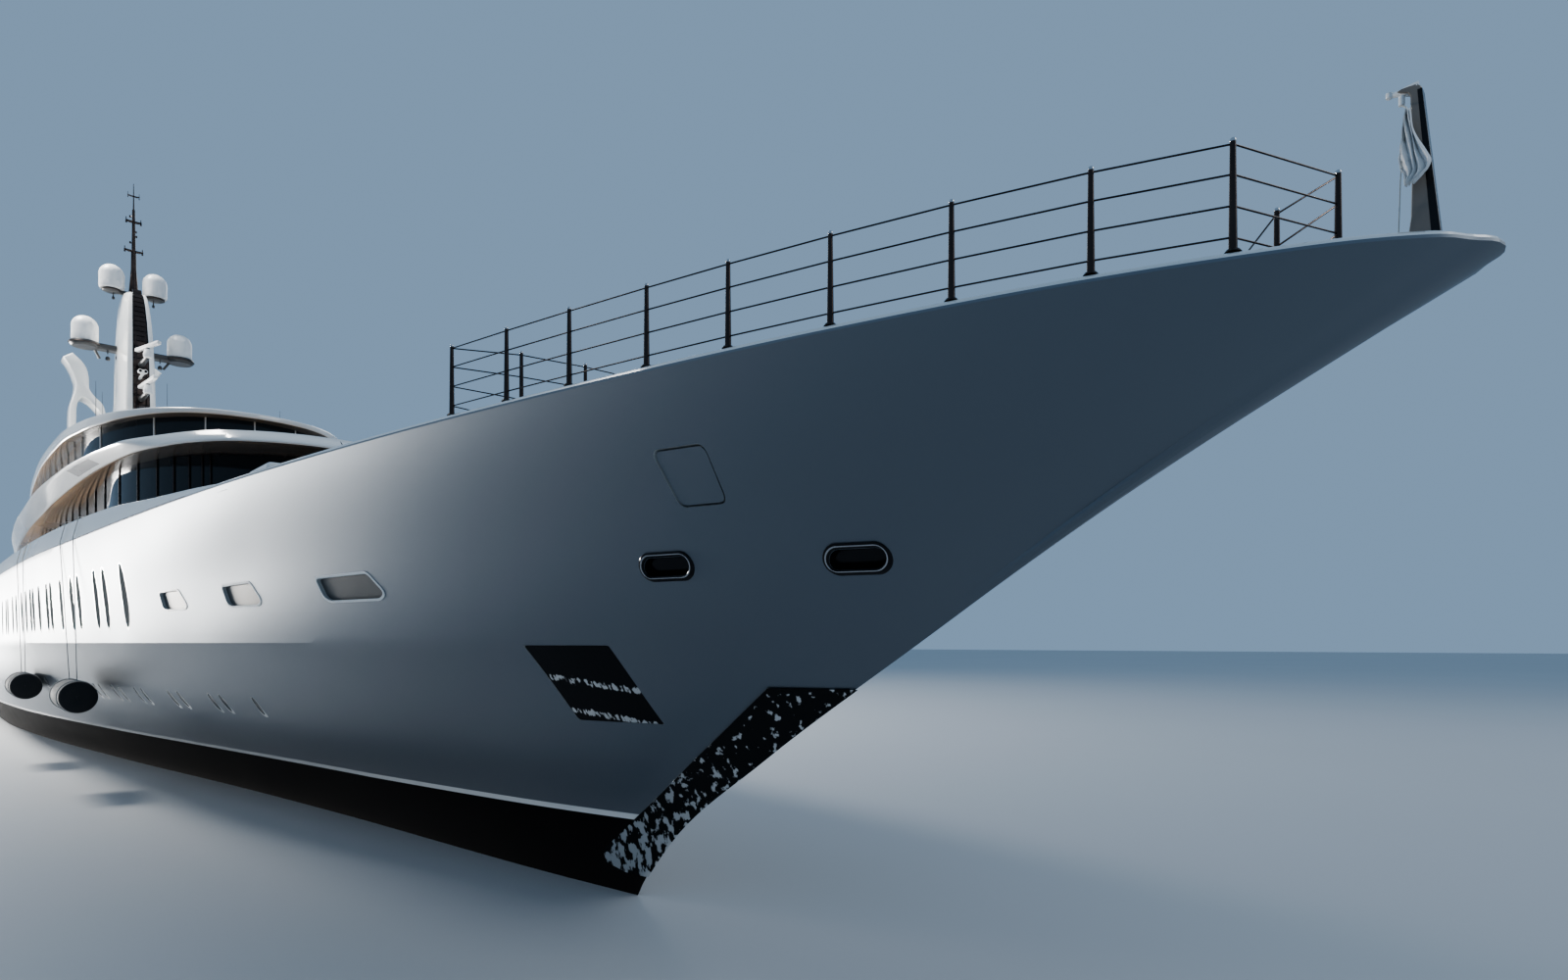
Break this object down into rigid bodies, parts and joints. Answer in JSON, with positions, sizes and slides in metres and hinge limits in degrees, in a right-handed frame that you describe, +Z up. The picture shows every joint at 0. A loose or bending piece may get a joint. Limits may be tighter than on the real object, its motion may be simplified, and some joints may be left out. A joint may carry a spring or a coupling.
{
  "type": "motor yacht, scale model 1:10",
  "caption": "Scale model of a large motor yacht: flared knuckled hull, open foredeck with rail, stepped deckhouses, tall mast with domes and twin screws.",
  "frame": {"origin": "on the waterline plane, on the centreline, halfway along the model", "axes": "+X towards the bow, +Y to port, +Z up"},
  "size_m": [11.6, 1.7354, 4.62],
  "materials": {
    "hull_paint": "high gloss silver white",
    "white_paint": "gloss white",
    "black_gloss": "polished black",
    "dark_bronze": "satin dark bronze",
    "dark_glass": "tinted",
    "steel": "polished",
    "propeller_bronze": "polished",
    "flag_cloth": "woven",
    "fender_cover": "matt",
    "grey_paint": "satin"
  },
  "bodies": {
    "yacht": {"hull": "hull_paint", "anchor_pocket_starboard": "black_gloss", "anchor_pocket_port": "black_gloss", "fairlead_fore_starboard": "black_gloss", "fairlead_fore_port": "black_gloss", "fairlead_aft_starboard": "black_gloss", "fairlead_aft_port": "black_gloss", "stem_plate": "black_gloss", "foredeck_rail": "dark_bronze", "jackstaff": "grey_paint", "bow_flag": "flag_cloth", "upper_deck_house": "white_paint", "upper_deck_glass": "dark_glass", "bridge_deck": "white_paint", "wheelhouse": "white_paint", "wheelhouse_glass": "dark_glass", "wheelhouse_console": "grey_paint", "top_roof": "white_paint", "sun_deck_house": "white_paint", "hardtop": "white_paint", "main_deck_house": "white_paint", "upper_deck_aft": "white_paint", "mast_tower": "white_paint", "mast_pole": "dark_bronze", "radome_lower_port": "white_paint", "radome_lower_starboard": "white_paint", "radome_upper_port": "white_paint", "radome_upper_starboard": "white_paint", "radar_base_upper": "white_paint", "radar_base_lower": "white_paint", "wing_port": "white_paint", "wing_starboard": "white_paint", "stern_platform": "white_paint", "shaft_port": "steel", "shaft_starboard": "steel", "fin_port": "hull_paint", "fin_starboard": "hull_paint", "fender_fore": "fender_cover", "fender_aft": "fender_cover"},
    "radar_upper": {"radar_scanner_upper": "white_paint"},
    "radar_lower": {"radar_scanner_lower": "white_paint"},
    "screw_port": {"propeller_port": "propeller_bronze"},
    "screw_starboard": {"propeller_starboard": "propeller_bronze"},
    "steering_port": {"rudder_port": "hull_paint"},
    "steering_starboard": {"rudder_starboard": "hull_paint"},
    "side_hatch_port": {"shell_door_port": "hull_paint"},
    "side_hatch_starboard": {"shell_door_starboard": "hull_paint"},
    "beach_door": {"stern_door": "hull_paint"}
  },
  "joints": [
    {"name": "radar_upper_turn", "type": "hinge", "parent": "yacht", "child": "radar_upper", "pos_m": [-1.79, 0, 2.665], "axis": [0, 0, 1], "continuous": true},
    {"name": "radar_lower_turn", "type": "hinge", "parent": "yacht", "child": "radar_lower", "pos_m": [-1.79, 0, 2.409], "axis": [0, 0, 1], "continuous": true},
    {"name": "screw_port_turn", "type": "hinge", "parent": "yacht", "child": "screw_port", "pos_m": [-4.37, 0.31, -0.315], "axis": [1, 0, 0], "continuous": true},
    {"name": "screw_starboard_turn", "type": "hinge", "parent": "yacht", "child": "screw_starboard", "pos_m": [-4.37, -0.31, -0.315], "axis": [1, 0, 0], "continuous": true},
    {"name": "rudder_port_turn", "type": "hinge", "parent": "yacht", "child": "steering_port", "pos_m": [-4.77, 0.31, -0.2], "axis": [0, 0, 1], "range_deg": [-35, 35]},
    {"name": "rudder_starboard_turn", "type": "hinge", "parent": "yacht", "child": "steering_starboard", "pos_m": [-4.77, -0.31, -0.2], "axis": [0, 0, 1], "range_deg": [-35, 35]},
    {"name": "shell_door_port_swing", "type": "hinge", "parent": "yacht", "child": "side_hatch_port", "pos_m": [4.861, 0.3179, 0.8564], "axis": [0.9676, -0.2524, 0], "range_deg": [0, 90]},
    {"name": "shell_door_starboard_swing", "type": "hinge", "parent": "yacht", "child": "side_hatch_starboard", "pos_m": [4.861, -0.3179, 0.8564], "axis": [-0.9676, -0.2524, 0], "range_deg": [0, 90]},
    {"name": "stern_door_swing", "type": "hinge", "parent": "yacht", "child": "beach_door", "pos_m": [-5.0997, 0, 0.4294], "axis": [0, 1, 0], "range_deg": [0, 95]}
  ],
  "couplings": [
    {"joint": "rudder_starboard_turn", "follows": "rudder_port_turn", "ratio": 1}
  ]
}
